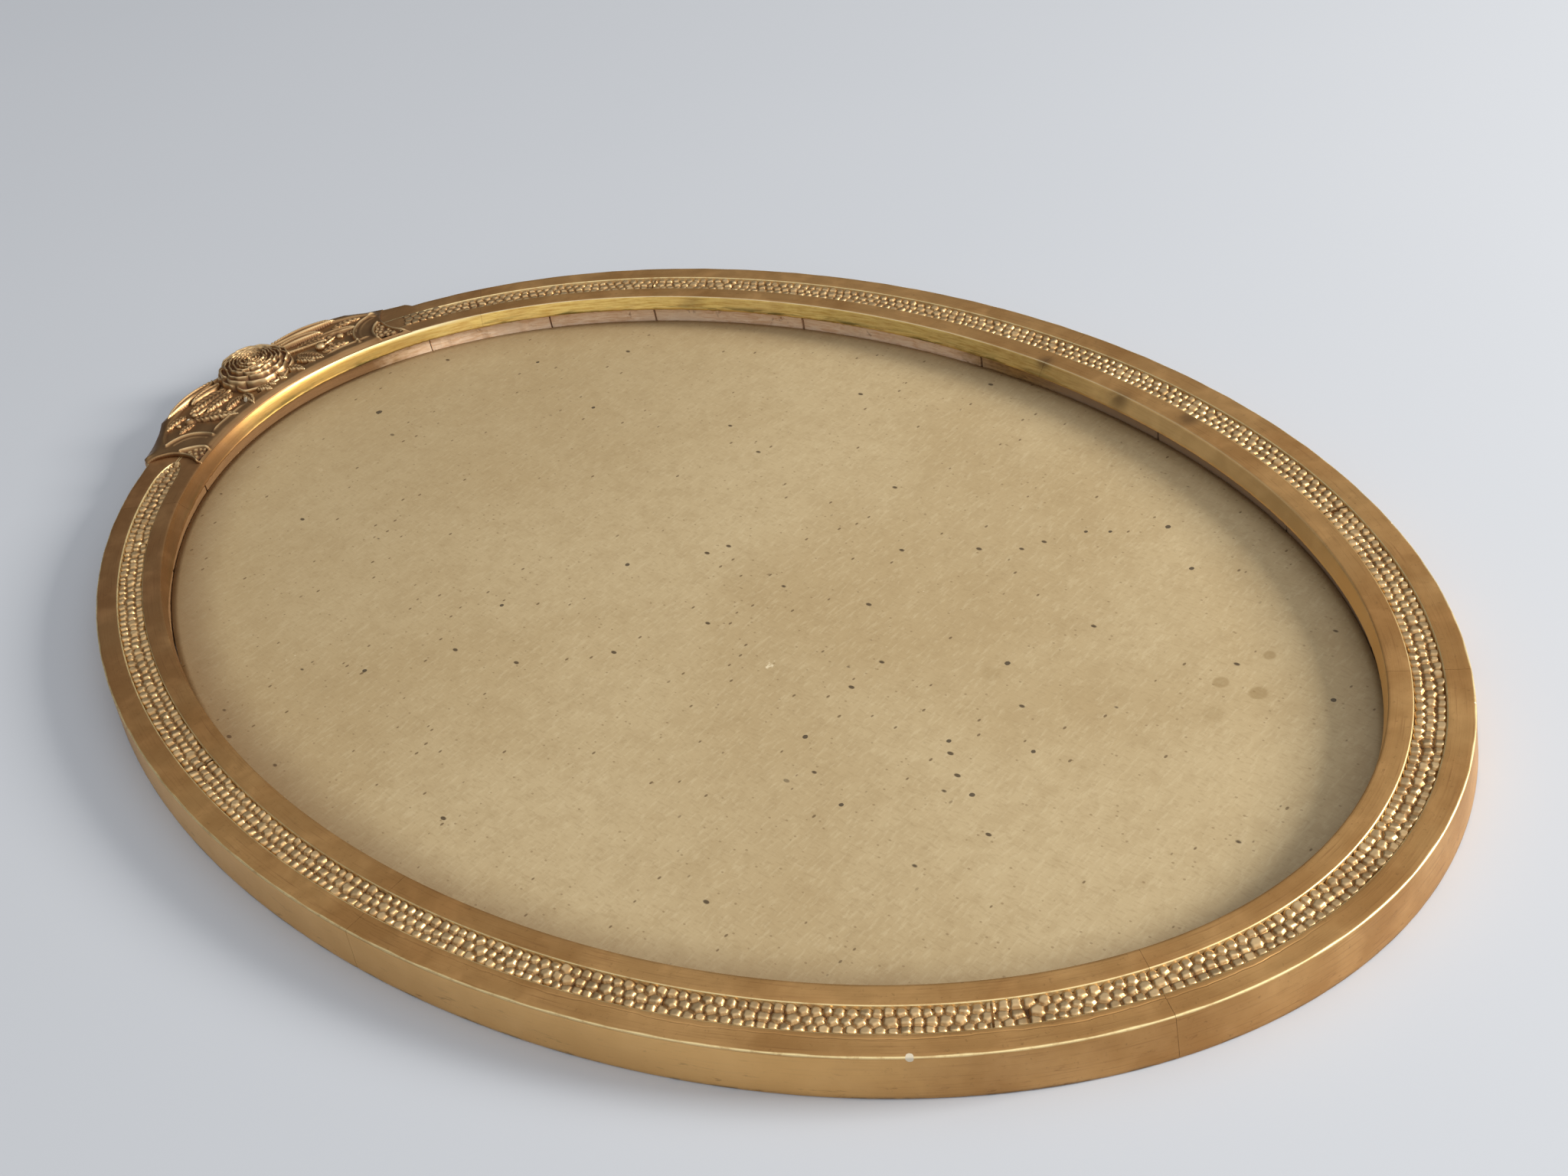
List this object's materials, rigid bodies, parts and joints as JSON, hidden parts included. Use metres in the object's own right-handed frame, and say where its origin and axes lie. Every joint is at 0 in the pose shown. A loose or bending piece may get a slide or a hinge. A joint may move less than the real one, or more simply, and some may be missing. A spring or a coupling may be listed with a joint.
{
  "type": "picture frame",
  "caption": "Oval photo frame of gilded wood with a pebbled band, a rose crest with leaf sprays, a strawboard backing and a folding hanging ring.",
  "frame": {"origin": "centre of the oval on the back plane, where the rebate opens to the back", "axes": "+Z out of the face, +Y towards the rose crest, which is the top when hung, +X to the right seen from the front"},
  "size_m": [0.342, 0.5054, 0.0218],
  "materials": {
    "gilt_wood": "satin, worn gilding with brown tarnish",
    "gilt_composition": "satin, worn gilding on moulded composition",
    "raw_wood": "matte, bare wood with size stains",
    "strawboard": "matte, fibrous with dark specks",
    "iron": "dull, darkened",
    "brass_plate": "dull",
    "brass_wire": "satin"
  },
  "bodies": {
    "frame": {"face_segment_top": "gilt_wood", "face_segment_right_1": "gilt_wood", "face_segment_left_1": "gilt_wood", "face_segment_right_2": "gilt_wood", "face_segment_left_2": "gilt_wood", "face_segment_bottom": "gilt_wood", "back_block_top": "raw_wood", "back_block_right_1": "raw_wood", "back_block_left_1": "raw_wood", "back_block_right_2": "raw_wood", "back_block_left_2": "raw_wood", "back_block_right_3": "raw_wood", "back_block_left_3": "raw_wood", "back_block_right_4": "raw_wood", "back_block_left_4": "raw_wood", "back_block_right_5": "raw_wood", "back_block_left_5": "raw_wood", "back_block_right_6": "raw_wood", "back_block_left_6": "raw_wood", "back_block_right_7": "raw_wood", "back_block_left_7": "raw_wood", "back_block_right_8": "raw_wood", "back_block_left_8": "raw_wood", "back_block_bottom": "raw_wood", "pebble_strip_1": "gilt_composition", "pebble_strip_2": "gilt_composition", "pebble_strip_3": "gilt_composition", "pebble_strip_4": "gilt_composition", "pebble_strip_5": "gilt_composition", "crest_plaque": "gilt_composition", "pebble_panel_right": "gilt_composition", "pebble_panel_left": "gilt_composition", "rose": "gilt_composition", "leaf_spray_right": "gilt_composition", "leaf_spray_left": "gilt_composition", "backing_board": "strawboard", "backing_pins": "iron", "hanger_plate": "brass_plate", "hanger_screws": "iron"},
    "ring": {"hanging_ring": "brass_wire"}
  },
  "joints": [
    {"name": "ring_hinge", "type": "hinge", "parent": "frame", "child": "ring", "pos_m": [0, 0.2384, 0.00224], "axis": [-1, 0, 0], "range_deg": [0, 150]}
  ]
}
